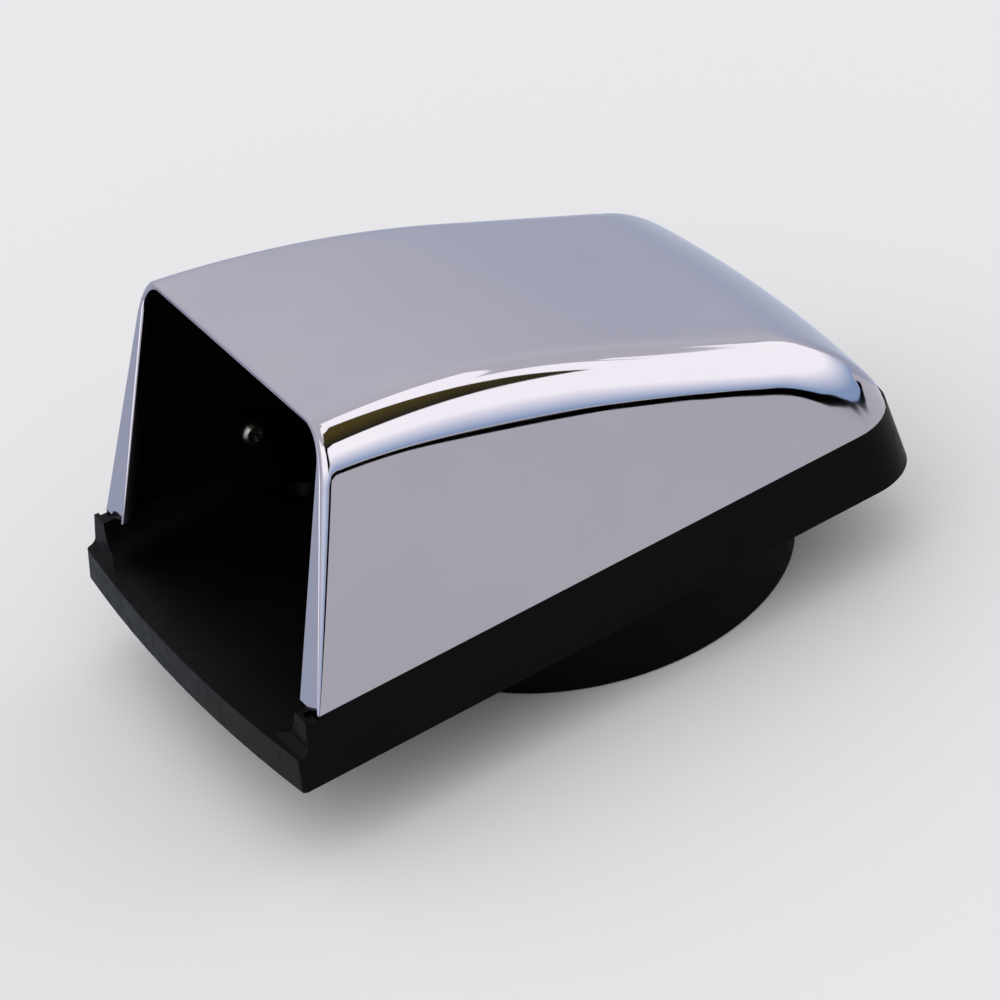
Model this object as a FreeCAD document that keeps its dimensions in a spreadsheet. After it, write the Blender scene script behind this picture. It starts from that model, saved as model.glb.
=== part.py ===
import FreeCAD, Part
import math
import os
import Sketcher

# Cowl vent for a 4 inch ventilation hose.
#
# A chromed cast hood with a square raked mouth stands on a black moulded base. The base is
# screwed to the deck, and a flanged collar under it takes the hose through the deck hole.
#
# Frame: origin on the collar's axis, in the deck plane. +Z is up, out of the deck, and the
# mouth faces -Y. Left and right mirror each other about the YZ plane. Sizes in millimetres.

DOC = FreeCAD.newDocument("CowlVent")
SHEET = DOC.addObject("Spreadsheet::Sheet", "Dims")

DIMENSIONS = (
    # Base: plan at the deck, and how far the skirt leans in over its height.
    ("skirt_height", 16.1),
    ("base_front_y", -101.3),
    ("base_front_half", 59.7),
    ("base_front_bow", 3.0),
    ("base_rear_y", 67.2),
    ("base_rear_half", 53.1),
    ("base_rear_bow", 3.3),
    ("skirt_lean", 1.6),
    ("skirt_front_lean", 2.4),
    ("base_corner_radius", 15.0),
    ("base_nose_radius", 1.2),
    ("skirt_wall", 2.5),
    ("front_wall", 3.0),
    ("floor_top", 8.1),
    ("floor_thick", 2.5),
    # Front lip and the two side rails that flank the mouth.
    ("lip_back_y", -99.6),
    ("rail_face_y", -97.2),
    ("rail_face_lean", 1.1),
    ("rail_end_y", -59.0),
    ("cove_foot_half", 43.9),
    ("cove_radius", 8.6),
    ("ledge_front_y", -95.0),
    ("ledge_depth", 0.9),
    ("ledge_half", 54.2),
    # Hood: the same kind of plan at its foot and at its upper end.
    ("foot_front_y", -110.0),
    ("foot_front_half", 58.8),
    ("foot_rear_y", 64.8),
    ("foot_rear_half", 52.3),
    ("hood_rear_bow", 3.2),
    ("crest_height", 64.0),
    ("crest_front_half", 51.6),
    ("crest_rear_y", 55.6),
    ("crest_rear_half", 37.4),
    ("hood_corner_radius", 14.5),
    ("crest_corner_radius", 34.0),
    ("shoulder_front_radius", 8.2),
    ("shoulder_rear_radius", 14.0),
    # Hood: roof line seen from the side, from its highest point back to the tail.
    ("apex_y", -85.0),
    ("apex_height", 61.1),
    ("crown_radius", 236.0),
    ("back_slope", 22.0),
    ("tail_start_y", 40.5),
    ("tail_radius", 50.0),
    ("tail_end_slope", 80.0),
    # Hood: raked mouth and wall.
    ("mouth_foot_y", -92.9),
    ("mouth_rake", 20.1),
    ("wall_foot", 3.0),
    ("wall_crest", 2.6),
    ("roof_wall", 2.2),
    # Mouth rim: a flange turned inwards, and the rounding of its outer edge.
    ("rim_depth", 3.0),
    ("rim_foot_half", 48.7),
    ("rim_top_half", 46.3),
    ("rim_top_height", 58.0),
    ("rim_corner_radius", 7.0),
    ("rim_round", 1.0),
    # Hose collar for a 4 inch hose.
    ("collar_radius", 50.8),
    ("collar_wall", 2.5),
    ("collar_drop", 19.7),
    ("collar_bevel", 0.3),
    ("flange_radius", 52.5),
    ("flange_thick", 2.5),
    ("ear_circle", 54.4),
    ("ear_radius", 5.0),
    ("ear_hole_radius", 1.8),
    # Deck screws, No. 8, countersunk into four pillars.
    ("deck_screw_x", 40.0),
    ("deck_screw_y", 51.0),
    ("deck_hole_radius", 2.3),
    ("deck_sink_radius", 4.5),
    ("deck_sink_depth", 2.2),
    ("pillar_radius", 6.2),
    # Bosses, tabs and small screws that hold the pieces together.
    ("boss_radius", 3.6),
    ("boss_height", 6.0),
    ("pilot_radius", 1.5),
    ("pilot_depth", 7.0),
    ("shank_radius", 1.45),
    ("head_radius", 2.9),
    ("head_height", 1.7),
    ("head_rim", 0.6),
    ("head_dome", 0.9),
    ("head_edge_radius", 1.75),
    ("recess_width", 0.7),
    ("recess_length", 3.2),
    ("recess_depth", 1.0),
    ("collar_screw_length", 8.6),
    ("hood_screw_length", 5.6),
    ("tab_y", -55.8),
    ("tab_width", 9.0),
    ("tab_thick", 2.2),
    ("tab_outer_x", 49.6),
    ("tab_screw_height", 24.6),
    ("lug_depth", 4.2),
    ("lug_pilot_depth", 3.8),
    # Rear hold-down: tongues on the hood drop behind keepers on the floor.
    ("tongue_x", 20.0),
    ("tongue_width", 12.0),
    ("tongue_thick", 2.0),
    ("tongue_rear_y", 64.2),
    ("tongue_foot_height", 9.5),
    ("tongue_top_height", 21.5),
    ("keeper_thick", 2.2),
    ("keeper_height", 5.5),
    ("keeper_gap", 0.2),
)

OVERCUT = 5.0         # how far a cutting solid runs past the face that it opens
OVERLAP = 1.0         # how far two solids that are joined run into each other
CORNER_PICK = 0.03    # part of an edge's length between a corner and where it is picked
VIEW_HALF_WIDTH = 90  # half width of the solids that cut right across the piece
FRONT_CLEAR_Y = -130  # in front of everything
REAR_CLEAR_Y = 100    # behind everything
TOP_CLEAR = 90        # above everything
ROOF_TURN = 44        # degrees that the roof's section turns through, past both sides


def fill_sheet():
    for row, (alias, size) in enumerate(DIMENSIONS, start=1):
        SHEET.set("A%d" % row, alias)
        SHEET.set("B%d" % row, str(size))
        SHEET.setAlias("B%d" % row, alias)
    DOC.recompute()


def value(expression):
    """The number that an expression in the sheet's words gives."""
    result = SHEET.evalExpression(expression)
    return float(getattr(result, "Value", result))


def new_body(name):
    body = DOC.addObject("PartDesign::Body", name)
    body.AllowCompound = True
    return body


def new_sketch(body, name, role="XY_Plane", offset="0"):
    """A sketch on one of the body's own origin planes, moved along the plane's normal."""
    plane = next(item for item in body.Origin.OriginFeatures if item.Role == role)
    sketch = body.newObject("Sketcher::SketchObject", name)
    sketch.AttachmentSupport = [(plane, "")]
    sketch.MapMode = "FlatFace"
    sketch.setExpression("AttachmentOffset.Base.z", offset)
    return sketch


def bind_size(sketch, constraint, name, expression):
    index = sketch.addConstraint(constraint)
    sketch.renameConstraint(index, name)
    sketch.setExpression("Constraints." + name, expression)


def place_point(sketch, edge, end, point, name):
    """Hold one end of an edge at a point given by two expressions."""
    x, y = value(point[0]), value(point[1])
    if abs(x) < 1e-9:
        sketch.addConstraint(Sketcher.Constraint("PointOnObject", edge, end, -2))
    else:
        constraint = Sketcher.Constraint("DistanceX", -1, 1, edge, end, x)
        bind_size(sketch, constraint, name + "_x", point[0])
    if abs(y) < 1e-9:
        sketch.addConstraint(Sketcher.Constraint("PointOnObject", edge, end, -1))
    else:
        constraint = Sketcher.Constraint("DistanceY", -1, 1, edge, end, y)
        bind_size(sketch, constraint, name + "_y", point[1])


def arc_through(start, end, radius):
    """A short arc between two points; a positive radius turns left on the way."""
    chord = end - start
    middle = (start + end) * 0.5
    left = FreeCAD.Vector(-chord.y, chord.x, 0).normalize()
    rise = math.sqrt(max(radius * radius - chord.Length ** 2 / 4.0, 0.0))
    centre = middle + left * math.copysign(rise, radius)
    first, last = (start, end) if radius > 0 else (end, start)
    first_angle = math.atan2(first.y - centre.y, first.x - centre.x)
    last_angle = math.atan2(last.y - centre.y, last.x - centre.x)
    circle = Part.Circle(centre, FreeCAD.Vector(0, 0, 1), abs(radius))
    return Part.ArcOfCircle(circle, first_angle, last_angle)


def draw_outline(sketch, points, arcs=None):
    """Close an outline through the points, with arcs = {edge number: radius expression}.

    A minus sign in front of the radius expression makes that arc turn right.
    """
    arcs = arcs or {}
    corners = [FreeCAD.Vector(value(x), value(y), 0) for x, y in points]
    ends = []
    for number, start in enumerate(corners):
        end = corners[(number + 1) % len(corners)]
        if number in arcs:
            radius = value(arcs[number])
            edge = sketch.addGeometry(arc_through(start, end, radius), False)
            ends.append((edge, 1, 2) if radius > 0 else (edge, 2, 1))
            size = arcs[number].lstrip("-")
            constraint = Sketcher.Constraint("Radius", edge, abs(radius))
            bind_size(sketch, constraint, "arc_%d" % number, size)
        else:
            edge = sketch.addGeometry(Part.LineSegment(start, end), False)
            ends.append((edge, 1, 2))
    for number, (edge, first, last) in enumerate(ends):
        next_edge, next_first, next_last = ends[(number + 1) % len(ends)]
        sketch.addConstraint(Sketcher.Constraint("Coincident", edge, last, next_edge, next_first))
        place_point(sketch, edge, first, points[number], "p%d" % number)


def draw_circle(sketch, centre, radius):
    middle = FreeCAD.Vector(value(centre[0]), value(centre[1]), 0)
    circle = Part.Circle(middle, FreeCAD.Vector(0, 0, 1), value(radius))
    edge = sketch.addGeometry(circle, False)
    place_point(sketch, edge, 3, centre, "centre")
    bind_size(sketch, Sketcher.Constraint("Radius", edge, value(radius)), "radius", radius)


def pad(body, sketch, length, both_ways=False, downwards=False):
    feature = body.newObject("PartDesign::Pad", body.Name + "Pad")
    feature.Profile = sketch
    feature.setExpression("Length", length)
    feature.Midplane = both_ways
    feature.Reversed = downwards
    DOC.recompute()
    return feature


def bow_radius(half, bow):
    """The radius of an arc across a full chord that stands out by bow at its middle."""
    return "(((%s)^2 + (%s)^2) / (2 * (%s)))" % (half, bow, bow)


def hold_bow(sketch, edge, end, outwards):
    """Keep a bowed edge's centre on the plan's middle line, at its own distance."""
    half, y, bow = end
    centre_y = "%s + %d * (%s - %s)" % (y, outwards, bow, bow_radius(half, bow))
    sketch.addConstraint(Sketcher.Constraint("PointOnObject", edge, 3, -2))
    constraint = Sketcher.Constraint("DistanceY", -1, 1, edge, 3, value(centre_y))
    bind_size(sketch, constraint, "bow_%d" % edge, centre_y)


def round_plan_corner(sketch, first, second, radius, name):
    """Round the corner where the first edge ends and the second begins."""
    def along(edge, part):
        curve = sketch.Geometry[edge]
        return curve.value(curve.FirstParameter * (1 - part) + curve.LastParameter * part)
    on_first = along(first, 1 - CORNER_PICK)
    on_second = along(second, CORNER_PICK)
    sketch.fillet(first, second, on_first, on_second, value(radius), True, False)
    edge = sketch.GeometryCount - 1
    bind_size(sketch, Sketcher.Constraint("Radius", edge, value(radius)), name, radius)


def plan_section(body, name, height, front, rear, corner_radius, nose_radius=None):
    """A plan with straight sides, a front that may be bowed and a bowed rear edge.

    front and rear are (half width, y, bow) expressions, measured at the sharp corners; a bow
    of None is a straight edge. The rear corners are rounded, and the front ones too where
    nose_radius is given.
    """
    sketch = new_sketch(body, name, "XY_Plane", height)
    corners = (
        ("-(%s)" % front[0], front[1]),
        (front[0], front[1]),
        (rear[0], rear[1]),
        ("-(%s)" % rear[0], rear[1]),
    )
    arcs = {2: bow_radius(rear[0], rear[2])}
    if front[2]:
        arcs[0] = bow_radius(front[0], front[2])
    draw_outline(sketch, corners, arcs)
    front_edge, right_side, rear_edge, left_side = range(4)
    round_plan_corner(sketch, right_side, rear_edge, corner_radius, "corner_right")
    round_plan_corner(sketch, rear_edge, left_side, corner_radius, "corner_left")
    hold_bow(sketch, rear_edge, rear, 1)
    if nose_radius:
        round_plan_corner(sketch, front_edge, right_side, nose_radius, "nose_right")
        round_plan_corner(sketch, left_side, front_edge, nose_radius, "nose_left")
        hold_bow(sketch, front_edge, front, -1)
    for side, near, far, word in ((right_side, 1, 2, "right"), (left_side, 0, 3, "left")):
        near_point = FreeCAD.Vector(value(corners[near][0]), value(corners[near][1]), 0)
        far_point = FreeCAD.Vector(value(corners[far][0]), value(corners[far][1]), 0)
        guide = sketch.addGeometry(Part.LineSegment(near_point, far_point), True)
        place_point(sketch, guide, 1, corners[near], "guide_near_" + word)
        place_point(sketch, guide, 2, corners[far], "guide_far_" + word)
        rear_end = 2 if side == right_side else 1
        sketch.addConstraint(Sketcher.Constraint("PointOnObject", side, rear_end, guide))
        if nose_radius:
            sketch.addConstraint(Sketcher.Constraint("PointOnObject", side, 3 - rear_end, guide))
    return sketch


def loft_block(name, low, high):
    """A solid between two plan sections, each the arguments of one plan_section."""
    body = new_body(name)
    lower = plan_section(body, name + "Low", *low)
    upper = plan_section(body, name + "High", *high)
    loft = body.newObject("PartDesign::AdditiveLoft", name + "Loft")
    loft.Profile = lower
    loft.Sections = [(upper, [""])]
    loft.Ruled = True
    DOC.recompute()
    return body


def cross_solid(name, points, arcs=None):
    """A solid right across the piece, from an outline seen from the side (Y, Z)."""
    body = new_body(name)
    sketch = new_sketch(body, name + "Side", "YZ_Plane")
    draw_outline(sketch, points, arcs)
    pad(body, sketch, str(2 * VIEW_HALF_WIDTH), both_ways=True)
    return body


def cut(name, solid, tools):
    joined = DOC.addObject("Part::MultiFuse", name + "Tools") if len(tools) > 1 else None
    if joined:
        joined.Shapes = tools
    result = DOC.addObject("Part::Cut", name)
    result.Base = solid
    result.Tool = joined or tools[0]
    DOC.recompute()
    return result


def fuse(name, solids):
    result = DOC.addObject("Part::MultiFuse", name)
    result.Shapes = solids
    result.Refine = True
    DOC.recompute()
    return result


def cylinder(name, centre, height, radius, turn=None):
    """A cylinder that starts at centre and runs along Z, or along X where turn is set."""
    solid = DOC.addObject("Part::Cylinder", name)
    solid.setExpression("Radius", radius)
    solid.setExpression("Height", height)
    if turn:
        solid.Placement.Rotation = FreeCAD.Rotation(FreeCAD.Vector(0, 1, 0), turn)
    for axis, expression in zip("xyz", centre):
        solid.setExpression("Placement.Base." + axis, expression)
    return solid


def box(name, corner, size):
    solid = DOC.addObject("Part::Box", name)
    for side, expression in zip(("Length", "Width", "Height"), size):
        solid.setExpression(side, expression)
    for axis, expression in zip("xyz", corner):
        solid.setExpression("Placement.Base." + axis, expression)
    return solid


def sign_word(sign):
    return "" if sign > 0 else "-"


# ---------------------------------------------------------------- base

def skirt_block():
    """The base's outside: a bowed plan at the deck that leans in towards its top."""
    low = (
        "0",
        ("Dims.base_front_half", "Dims.base_front_y", "Dims.base_front_bow"),
        ("Dims.base_rear_half", "Dims.base_rear_y", "Dims.base_rear_bow"),
        "Dims.base_corner_radius",
        "Dims.base_nose_radius",
    )
    lean = "Dims.skirt_lean"
    high = (
        "Dims.skirt_height",
        ("Dims.base_front_half - " + lean, "Dims.base_front_y + Dims.skirt_front_lean",
         "Dims.base_front_bow"),
        ("Dims.base_rear_half - " + lean, "Dims.base_rear_y - " + lean, "Dims.base_rear_bow"),
        "Dims.base_corner_radius",
        "Dims.base_nose_radius",
    )
    return loft_block("Skirt", low, high)


def inner_block(name, low_height, high_height, front_y):
    """The hollow inside the skirt between two heights, one skirt wall in from it."""
    def section(height):
        lean = "Dims.skirt_lean * (%s) / Dims.skirt_height" % height
        inset = "Dims.skirt_wall + " + lean
        taper = "(Dims.base_front_half - Dims.base_rear_half)"
        length = "(Dims.base_rear_y - Dims.base_front_y)"
        front_half = "Dims.base_front_half - %s * (%s - Dims.base_front_y) / %s - (%s)" % (
            taper, front_y, length, inset)
        return (
            height,
            (front_half, front_y, None),
            ("Dims.base_rear_half - (%s)" % inset, "Dims.base_rear_y - (%s)" % inset,
             "Dims.base_rear_bow"),
            "Dims.base_corner_radius - Dims.skirt_wall",
        )
    return loft_block(name, section(low_height), section(high_height))


def floor_underside():
    return "(Dims.floor_top - Dims.floor_thick)"


def channel_block():
    """The air channel between the rails: a flat floor with a cove up each rail."""
    body = new_body("Channel")
    sketch = new_sketch(body, "ChannelSection", "XZ_Plane", "-(Dims.rail_end_y)")
    wall = "Dims.cove_foot_half + Dims.cove_radius"
    points = (
        ("-Dims.cove_foot_half", "Dims.floor_top"),
        ("Dims.cove_foot_half", "Dims.floor_top"),
        (wall, "Dims.floor_top + Dims.cove_radius"),
        (wall, str(TOP_CLEAR)),
        ("-(%s)" % wall, str(TOP_CLEAR)),
        ("-(%s)" % wall, "Dims.floor_top + Dims.cove_radius"),
    )
    draw_outline(sketch, points, {1: "Dims.cove_radius", 5: "Dims.cove_radius"})
    pad(body, sketch, "Dims.rail_end_y - (%d)" % FRONT_CLEAR_Y)
    return body


def lip_notch():
    """What is missing above the front lip: a concave step up to the leaning rail faces."""
    step = "(Dims.rail_face_y - Dims.lip_back_y)"
    rise = "(Dims.skirt_height - Dims.floor_top)"
    points = (
        (str(FRONT_CLEAR_Y), "Dims.floor_top"),
        ("Dims.lip_back_y", "Dims.floor_top"),
        ("Dims.rail_face_y", "Dims.floor_top + " + step),
        ("Dims.rail_face_y + Dims.rail_face_lean", "Dims.floor_top + " + rise),
        ("Dims.rail_face_y + Dims.rail_face_lean", str(TOP_CLEAR)),
        (str(FRONT_CLEAR_Y), str(TOP_CLEAR)),
    )
    return cross_solid("LipNotch", points, {1: step})


def ledge_rebates():
    """A shallow step in each rail's top, which the hood's mouth foot drops into."""
    solids = []
    reach = "(Dims.base_front_half - Dims.ledge_half + %s)" % OVERCUT
    for side, sign in (("Right", 1), ("Left", -1)):
        corner_x = "Dims.ledge_half" if sign > 0 else "-Dims.ledge_half - %s" % reach
        corner = (corner_x, "Dims.ledge_front_y", "Dims.skirt_height - Dims.ledge_depth")
        size = (reach, "Dims.mouth_foot_y - Dims.ledge_front_y", str(OVERCUT))
        solids.append(box("Ledge" + side, corner, size))
    return solids


def corner_places(x, y):
    """The four mirror images of a point, as expression pairs."""
    return [(sign_word(sx) + x, sign_word(sy) + y) for sx in (1, -1) for sy in (1, -1)]


def deck_pillars():
    return [
        cylinder("Pillar%d" % i, (x, y, "0"), "%s + %s" % (floor_underside(), OVERLAP),
                 "Dims.pillar_radius")
        for i, (x, y) in enumerate(corner_places("Dims.deck_screw_x", "Dims.deck_screw_y"))
    ]


def deck_holes():
    """Through holes with a countersink in the floor for each deck screw."""
    solids = []
    for i, (x, y) in enumerate(corner_places("Dims.deck_screw_x", "Dims.deck_screw_y")):
        hole = cylinder("DeckHole%d" % i, (x, y, str(-OVERCUT)), str(4 * OVERCUT),
                        "Dims.deck_hole_radius")
        sink = DOC.addObject("Part::Cone", "DeckSink%d" % i)
        sink.setExpression("Radius1", "Dims.deck_hole_radius")
        sink.setExpression("Radius2", "Dims.deck_sink_radius")
        sink.setExpression("Height", "Dims.deck_sink_depth")
        sink.setExpression("Placement.Base.x", x)
        sink.setExpression("Placement.Base.y", y)
        sink.setExpression("Placement.Base.z", "Dims.floor_top - Dims.deck_sink_depth")
        solids += [hole, sink]
    return solids


def ear_places():
    diagonal = "Dims.ear_circle * sin(45)"
    return corner_places(diagonal, diagonal)


def collar_bosses():
    return [
        cylinder("CollarBoss%d" % i, (x, y, "Dims.floor_top - %s" % OVERLAP),
                 "Dims.boss_height + %s" % OVERLAP, "Dims.boss_radius")
        for i, (x, y) in enumerate(ear_places())
    ]


def collar_pilots():
    return [
        cylinder("CollarPilot%d" % i, (x, y, "%s - %s" % (floor_underside(), OVERCUT)),
                 "Dims.pilot_depth + %s" % OVERCUT, "Dims.pilot_radius")
        for i, (x, y) in enumerate(ear_places())
    ]


def hood_tabs():
    """Two upright tabs inside the hood, each with a rounded top and a screw hole."""
    solids = []
    holes = []
    for side, sign in (("Right", 1), ("Left", -1)):
        inner_x = "Dims.tab_outer_x - Dims.tab_thick" if sign > 0 else "-Dims.tab_outer_x"
        corner = (inner_x, "Dims.tab_y - Dims.tab_width / 2", "Dims.floor_top - %s" % OVERLAP)
        size = ("Dims.tab_thick", "Dims.tab_width",
                "Dims.tab_screw_height - Dims.floor_top + %s" % OVERLAP)
        solids.append(box("Tab" + side, corner, size))
        crown_centre = (inner_x, "Dims.tab_y", "Dims.tab_screw_height")
        solids.append(cylinder("TabCrown" + side, crown_centre, "Dims.tab_thick",
                               "Dims.tab_width / 2", turn=90))
        hole_centre = ("%s - %s" % (inner_x, OVERCUT), "Dims.tab_y", "Dims.tab_screw_height")
        holes.append(cylinder("TabHole" + side, hole_centre, "Dims.tab_thick + %s" % (2 * OVERCUT),
                              "Dims.ear_hole_radius", turn=90))
    return solids, holes


def tongue_corner_x(sign):
    return "%sDims.tongue_x - Dims.tongue_width / 2" % sign_word(sign)


def rear_keepers():
    """Two short walls that the hood's rear tongues drop behind."""
    solids = []
    for side, sign in (("Right", 1), ("Left", -1)):
        front = "Dims.tongue_rear_y - Dims.tongue_thick - Dims.keeper_gap - Dims.keeper_thick"
        corner = (tongue_corner_x(sign), front, "Dims.floor_top - %s" % OVERLAP)
        size = ("Dims.tongue_width", "Dims.keeper_thick", "Dims.keeper_height + %s" % OVERLAP)
        solids.append(box("Keeper" + side, corner, size))
    return solids


def make_base():
    bore = cylinder("CollarOpening", ("0", "0", str(-OVERCUT)), str(4 * OVERCUT),
                    "Dims.collar_radius - Dims.collar_wall")
    hollow = inner_block("Underside", "0", floor_underside(),
                         "(Dims.base_front_y + Dims.front_wall)")
    well = inner_block("Well", "Dims.floor_top", "(Dims.skirt_height + %s)" % OVERCUT,
                       "(Dims.rail_end_y - %s)" % OVERLAP)
    cuts = [hollow, well, channel_block(), lip_notch(), bore] + ledge_rebates()
    tray = cut("Tray", skirt_block(), cuts)
    tabs, tab_holes = hood_tabs()
    solids = [tray] + deck_pillars() + collar_bosses() + tabs + rear_keepers()
    body = fuse("TrayWithBosses", solids)
    base = cut("Base", body, deck_holes() + collar_pilots() + tab_holes)
    base.Label = "base"
    return base


# ---------------------------------------------------------------- hood

def roof_cut(name, wall):
    """Everything above the roof line, set one wall thickness lower for the inside.

    The roof line is turned about a far upright axis, so that the whole roof bows across the
    hood as its rear wall does.
    """
    slope = "Dims.back_slope"
    crown = "(Dims.crown_radius - %s)" % wall
    tail = "(Dims.tail_radius - %s)" % wall
    apex_z = "(Dims.apex_height - %s)" % wall
    back_y = "(Dims.apex_y + %s * sin(%s))" % (crown, slope)
    back_z = "(%s - %s * (1 - cos(%s)))" % (apex_z, crown, slope)
    tail_y = "(Dims.tail_start_y - %s * sin(%s))" % (wall, slope)
    tail_z = "(%s - (%s - %s) * tan(%s))" % (back_z, tail_y, back_y, slope)
    end_y = "(%s + %s * (sin(Dims.tail_end_slope) - sin(%s)))" % (tail_y, tail, slope)
    end_z = "(%s - %s * (cos(%s) - cos(Dims.tail_end_slope)))" % (tail_z, tail, slope)
    points = (
        (str(FRONT_CLEAR_Y), apex_z),
        ("Dims.apex_y", apex_z),
        (back_y, back_z),
        (tail_y, tail_z),
        (end_y, end_z),
        (str(REAR_CLEAR_Y), end_z),
        (str(REAR_CLEAR_Y), str(TOP_CLEAR)),
        (str(FRONT_CLEAR_Y), str(TOP_CLEAR)),
    )
    sketch = DOC.addObject("Sketcher::SketchObject", name + "Side")
    sketch.Placement.Rotation = FreeCAD.Rotation(FreeCAD.Vector(1, 1, 1), 120)
    draw_outline(sketch, points, {1: "-" + crown, 3: "-" + tail})
    turned = DOC.addObject("Part::Revolution", name)
    turned.Source = sketch
    turned.Axis = FreeCAD.Vector(0, 0, 1)
    bow = bow_radius("Dims.foot_rear_half", "Dims.hood_rear_bow")
    turned.setExpression("Base.y", "Dims.foot_rear_y + Dims.hood_rear_bow - " + bow)
    turned.Angle = ROOF_TURN
    turned.Symmetric = True
    turned.Solid = True
    DOC.recompute()
    return turned


def middle_normal(face):
    u0, u1, v0, v1 = face.ParameterRange
    return face.normalAt((u0 + u1) / 2, (v0 + v1) / 2)


def faces_up(face):
    """True for a roof face: it looks upwards and not to either side."""
    normal = middle_normal(face)
    return abs(normal.x) < 1e-4 and normal.z > 0.25


def faces_forward(face):
    return middle_normal(face).y < -0.9


def shoulder_round(y):
    """The shoulder's radius, which grows steadily from the mouth to the tail."""
    front, rear = value("Dims.shoulder_front_radius"), value("Dims.shoulder_rear_radius")
    front_y, rear_y = value("Dims.mouth_foot_y"), value("Dims.tail_start_y")
    part = min(max((y - front_y) / (rear_y - front_y), 0.0), 1.0)
    return front + (rear - front) * part


def shoulder_rounds(chain, wall):
    """Each edge's number and its radii at both ends, in the order that the chain runs.

    The chain runs up one side of the roof, round the tail and down the other side, in the
    direction of its first edge.
    """
    first = chain[0][1]
    runs_forward = first.valueAt(first.LastParameter).y < first.valueAt(first.FirstParameter).y
    ends_right = runs_forward == (first.CenterOfMass.x > 0)
    rounds = []
    for number, edge in chain:
        sizes = sorted(shoulder_round(vertex.Point.y) - wall for vertex in edge.Vertexes)
        if ends_right == (edge.CenterOfMass.x > 0):
            sizes.reverse()
        rounds.append((number, sizes[0], sizes[-1]))
    return rounds


def hood_block(name, foot_inset, crest_inset, wall):
    """The hood as a solid: lofted walls, cut by the roof line, with rounded shoulders."""
    low = (
        "0",
        ("Dims.foot_front_half - " + foot_inset, "Dims.foot_front_y", None),
        ("Dims.foot_rear_half - " + foot_inset, "Dims.foot_rear_y - " + foot_inset,
         "Dims.hood_rear_bow"),
        "Dims.hood_corner_radius - " + foot_inset,
    )
    high = (
        "Dims.crest_height",
        ("Dims.crest_front_half - " + crest_inset, "Dims.foot_front_y", None),
        ("Dims.crest_rear_half - " + crest_inset, "Dims.crest_rear_y - " + crest_inset,
         "Dims.hood_rear_bow"),
        "Dims.crest_corner_radius - " + crest_inset,
    )
    walls = loft_block(name + "Walls", low, high)
    block = cut(name + "Block", walls, [roof_cut(name + "Roof", wall)])
    rounded = DOC.addObject("Part::Fillet", name)
    rounded.Base = block
    shape = block.Shape
    chain = []
    for number, edge in enumerate(shape.Edges, start=1):
        faces = shape.ancestorsOfType(edge, Part.Face)
        roofs = [face for face in faces if faces_up(face)]
        if len(roofs) == 1 and not any(faces_forward(face) for face in faces):
            chain.append((number, edge))
    rounded.Edges = shoulder_rounds(chain, value(wall))
    DOC.recompute()
    return rounded


def mouth_point(height, depth="0"):
    """A point at a height in the raked mouth plane, or a depth behind it along Y."""
    return ("Dims.mouth_foot_y + %s + %s * tan(Dims.mouth_rake)" % (depth, height), str(height))


def mouth_cut():
    """Everything in front of the raked mouth plane."""
    points = (
        (str(FRONT_CLEAR_Y), str(-OVERCUT)),
        mouth_point(-OVERCUT),
        mouth_point(TOP_CLEAR),
        (str(FRONT_CLEAR_Y), str(TOP_CLEAR)),
    )
    return cross_solid("MouthCut", points)


def mouth_rim(outside):
    """The flange round the mouth: a raked slice of the solid hood with the opening cut out."""
    slab = cross_solid("RimSlab", (
        mouth_point(-OVERCUT),
        mouth_point(-OVERCUT, "Dims.rim_depth"),
        mouth_point(TOP_CLEAR, "Dims.rim_depth"),
        mouth_point(TOP_CLEAR),
    ))
    slice_of_hood = DOC.addObject("Part::MultiCommon", "RimSlice")
    slice_of_hood.Shapes = [outside, slab]
    opening = new_body("RimOpening")
    sketch = new_sketch(opening, "RimOpeningFront", "XZ_Plane")
    taper = "(Dims.rim_foot_half - Dims.rim_top_half) / Dims.rim_top_height"
    below_half = "Dims.rim_foot_half + %s * %s" % (OVERCUT, taper)
    radius = "Dims.rim_corner_radius"
    shoulder = "Dims.rim_top_height - " + radius
    points = (
        ("-(%s)" % below_half, str(-OVERCUT)),
        (below_half, str(-OVERCUT)),
        ("Dims.rim_top_half", shoulder),
        ("Dims.rim_top_half - " + radius, "Dims.rim_top_height"),
        ("-(Dims.rim_top_half - %s)" % radius, "Dims.rim_top_height"),
        ("-Dims.rim_top_half", shoulder),
    )
    draw_outline(sketch, points, {2: radius, 4: radius})
    pad(opening, sketch, str(-FRONT_CLEAR_Y))
    return cut("MouthRim", slice_of_hood, [opening])


def round_mouth_edge(solid):
    """The solid hood cut off at the mouth, with that edge rounded up both sides and over."""
    raked = cut("HoodRaked", solid, [mouth_cut()])
    rake = math.radians(value("Dims.mouth_rake"))
    front = FreeCAD.Vector(0, -math.cos(rake), math.sin(rake))
    size = value("Dims.rim_round")
    edges = []
    for number, edge in enumerate(raked.Shape.Edges, start=1):
        faces = raked.Shape.ancestorsOfType(edge, Part.Face)
        on_mouth = any(middle_normal(face).dot(front) > 0.999 for face in faces)
        on_foot = any(middle_normal(face).z < -0.5 for face in faces)
        if on_mouth and not on_foot:
            edges.append((number, size, size))
    rounded = DOC.addObject("Part::Fillet", "HoodRounded")
    rounded.Base = raked
    rounded.Edges = edges
    DOC.recompute()
    return rounded


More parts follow.
